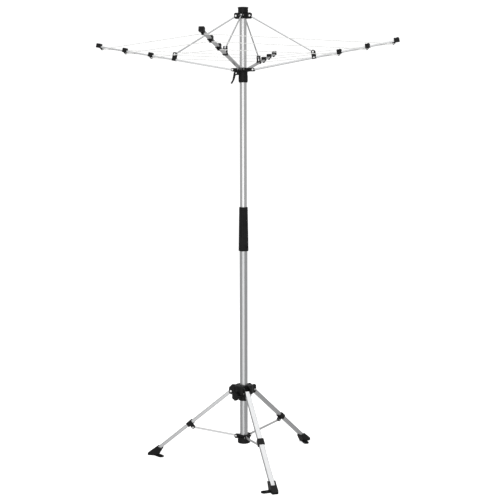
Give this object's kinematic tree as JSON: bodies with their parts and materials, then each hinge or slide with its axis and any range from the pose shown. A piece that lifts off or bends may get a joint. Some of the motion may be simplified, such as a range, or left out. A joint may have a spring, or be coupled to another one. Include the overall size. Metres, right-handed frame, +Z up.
{
  "type": "rotary clothesline",
  "caption": "Free-standing rotary clothesline with folding arms and square line loops on a telescopic mast, held by a folding tripod with pegged feet.",
  "frame": {"origin": "on the mast axis at floor level, where the base plates of the feet stand", "axes": "+Z up along the mast; +X towards arm 1; the legs stand at 60, 180 and 300 degrees from +X"},
  "size_m": [1.2362, 1.2362, 1.85],
  "materials": {
    "satin_aluminium": "satin anodised",
    "bright_aluminium": "drawn, semi-bright",
    "bright_steel": "zinc bright",
    "black_plastic": "moulded, low sheen",
    "line_white": "smooth coated line"
  },
  "bodies": {
    "mast_base": {"lower_tube": "satin_aluminium", "base_hub": "black_plastic", "brace_pins": "bright_steel"},
    "grip": {"mast_grip": "black_plastic"},
    "mast_slider": {"mast_bush": "black_plastic"},
    "head": {"upper_tube": "bright_aluminium", "top_cap": "black_plastic"},
    "arm_hub": {"arm_hub": "black_plastic", "arm_pins": "bright_steel", "lever_pin": "bright_steel", "line_inner": "line_white", "line_middle": "line_white", "line_outer": "line_white"},
    "hub_lever": {"hub_lever": "black_plastic"},
    "tripod_hub": {"tripod_hub": "black_plastic", "leg_pin_left": "bright_steel", "leg_pin_front": "bright_steel", "leg_pin_right": "bright_steel"},
    "clamp_knob": {"clamp_knob": "black_plastic", "clamp_screw": "bright_steel"},
    "arm_1": {"arm_tube_1": "satin_aluminium", "tip_cap_1": "black_plastic", "line_clips_1": "black_plastic", "strut_bracket_1": "black_plastic"},
    "strut_1": {"strut_1": "satin_aluminium", "strut_pins_1": "bright_steel"},
    "arm_2": {"arm_tube_2": "satin_aluminium", "tip_cap_2": "black_plastic", "line_clips_2": "black_plastic", "strut_bracket_2": "black_plastic"},
    "strut_2": {"strut_2": "satin_aluminium", "strut_pins_2": "bright_steel"},
    "arm_3": {"arm_tube_3": "satin_aluminium", "tip_cap_3": "black_plastic", "line_clips_3": "black_plastic", "strut_bracket_3": "black_plastic"},
    "strut_3": {"strut_3": "satin_aluminium", "strut_pins_3": "bright_steel"},
    "arm_4": {"arm_tube_4": "satin_aluminium", "tip_cap_4": "black_plastic", "line_clips_4": "black_plastic", "strut_bracket_4": "black_plastic"},
    "strut_4": {"strut_4": "satin_aluminium", "strut_pins_4": "bright_steel"},
    "brace_left": {"brace_left": "satin_aluminium"},
    "leg_left": {"leg_tube_left": "satin_aluminium", "leg_collar_left": "black_plastic", "foot_left": "black_plastic", "collar_pin_left": "bright_steel"},
    "brace_front": {"brace_front": "satin_aluminium"},
    "leg_front": {"leg_tube_front": "satin_aluminium", "leg_collar_front": "black_plastic", "foot_front": "black_plastic", "collar_pin_front": "bright_steel"},
    "brace_right": {"brace_right": "satin_aluminium"},
    "leg_right": {"leg_tube_right": "satin_aluminium", "leg_collar_right": "black_plastic", "foot_right": "black_plastic", "collar_pin_right": "bright_steel"}
  },
  "joints": [
    {"name": "grip_twist", "type": "hinge", "parent": "mast_base", "child": "grip", "pos_m": [0, 0, 0.97], "axis": [0, 0, 1], "range_deg": [0, 90]},
    {"name": "mast_height", "type": "slide", "parent": "mast_base", "child": "mast_slider", "axis": [0, 0, 1], "range_m": [-0.15, 0]},
    {"name": "head_spin", "type": "hinge", "parent": "mast_slider", "child": "head", "pos_m": [0, 0, 0.76], "axis": [0, 0, 1], "continuous": true},
    {"name": "arm_fold", "type": "slide", "parent": "head", "child": "arm_hub", "axis": [0, 0, -1], "range_m": [0, 0.3308], "deforming": ["line_inner", "line_middle", "line_outer"]},
    {"name": "hub_lever_swing", "type": "hinge", "parent": "arm_hub", "child": "hub_lever", "pos_m": [-0.02762, -0.01172, 1.592], "axis": [-0.3907, 0.9205, 0], "range_deg": [0, 75]},
    {"name": "arm_1_lift", "type": "hinge", "parent": "arm_hub", "child": "arm_1", "pos_m": [0.0414, 0, 1.6065], "axis": [0, -1, 0], "range_deg": [0, 73.23]},
    {"name": "strut_1_swing", "type": "hinge", "parent": "arm_1", "child": "strut_1", "pos_m": [0.28213, 0, 1.67186], "axis": [0, 1, 0], "range_deg": [0, 129.52]},
    {"name": "arm_2_lift", "type": "hinge", "parent": "arm_hub", "child": "arm_2", "pos_m": [0, 0.0414, 1.6065], "axis": [1, 0, 0], "range_deg": [0, 73.23]},
    {"name": "strut_2_swing", "type": "hinge", "parent": "arm_2", "child": "strut_2", "pos_m": [0, 0.28213, 1.67186], "axis": [-1, 0, 0], "range_deg": [0, 129.52]},
    {"name": "arm_3_lift", "type": "hinge", "parent": "arm_hub", "child": "arm_3", "pos_m": [-0.0414, 0, 1.6065], "axis": [0, 1, 0], "range_deg": [0, 73.23]},
    {"name": "strut_3_swing", "type": "hinge", "parent": "arm_3", "child": "strut_3", "pos_m": [-0.28213, 0, 1.67186], "axis": [0, -1, 0], "range_deg": [0, 129.52]},
    {"name": "arm_4_lift", "type": "hinge", "parent": "arm_hub", "child": "arm_4", "pos_m": [0, -0.0414, 1.6065], "axis": [-1, 0, 0], "range_deg": [0, 73.23]},
    {"name": "strut_4_swing", "type": "hinge", "parent": "arm_4", "child": "strut_4", "pos_m": [0, -0.28213, 1.67186], "axis": [1, 0, 0], "range_deg": [0, 129.52]},
    {"name": "tripod_fold", "type": "slide", "parent": "mast_base", "child": "tripod_hub", "axis": [0, 0, 1], "range_m": [0, 0.2289]},
    {"name": "clamp_knob_turn", "type": "hinge", "parent": "tripod_hub", "child": "clamp_knob", "pos_m": [-0.0205, -0.03551, 0.284], "axis": [-0.5, -0.866, 0], "range_deg": [0, 180]},
    {"name": "brace_left_swing", "type": "hinge", "parent": "mast_base", "child": "brace_left", "pos_m": [-0.033, 0, 0.108], "axis": [0, 1, 0], "range_deg": [0, 75.68]},
    {"name": "leg_left_swing", "type": "hinge", "parent": "brace_left", "child": "leg_left", "pos_m": [-0.217, 0, 0.131], "axis": [0, -1, 0], "range_deg": [0, 119.28]},
    {"name": "brace_front_swing", "type": "hinge", "parent": "mast_base", "child": "brace_front", "pos_m": [0.0165, -0.02858, 0.108], "axis": [-0.866, -0.5, 0], "range_deg": [0, 75.68]},
    {"name": "leg_front_swing", "type": "hinge", "parent": "brace_front", "child": "leg_front", "pos_m": [0.1085, -0.18793, 0.131], "axis": [0.866, 0.5, 0], "range_deg": [0, 119.28]},
    {"name": "brace_right_swing", "type": "hinge", "parent": "mast_base", "child": "brace_right", "pos_m": [0.0165, 0.02858, 0.108], "axis": [0.866, -0.5, 0], "range_deg": [0, 75.68]},
    {"name": "leg_right_swing", "type": "hinge", "parent": "brace_right", "child": "leg_right", "pos_m": [0.1085, 0.18793, 0.131], "axis": [-0.866, 0.5, 0], "range_deg": [0, 119.28]}
  ],
  "couplings": [
    {"joint": "arm_1_lift", "follows": "arm_fold", "rad_per_m": 3.8634},
    {"joint": "strut_1_swing", "follows": "arm_fold", "rad_per_m": 6.8333},
    {"joint": "arm_2_lift", "follows": "arm_fold", "rad_per_m": 3.8634},
    {"joint": "strut_2_swing", "follows": "arm_fold", "rad_per_m": 6.8333},
    {"joint": "arm_3_lift", "follows": "arm_fold", "rad_per_m": 3.8634},
    {"joint": "strut_3_swing", "follows": "arm_fold", "rad_per_m": 6.8333},
    {"joint": "arm_4_lift", "follows": "arm_fold", "rad_per_m": 3.8634},
    {"joint": "strut_4_swing", "follows": "arm_fold", "rad_per_m": 6.8333},
    {"joint": "brace_left_swing", "follows": "tripod_fold", "rad_per_m": 5.77},
    {"joint": "leg_left_swing", "follows": "tripod_fold", "rad_per_m": 9.0944},
    {"joint": "brace_front_swing", "follows": "tripod_fold", "rad_per_m": 5.77},
    {"joint": "leg_front_swing", "follows": "tripod_fold", "rad_per_m": 9.0944},
    {"joint": "brace_right_swing", "follows": "tripod_fold", "rad_per_m": 5.77},
    {"joint": "leg_right_swing", "follows": "tripod_fold", "rad_per_m": 9.0944}
  ]
}
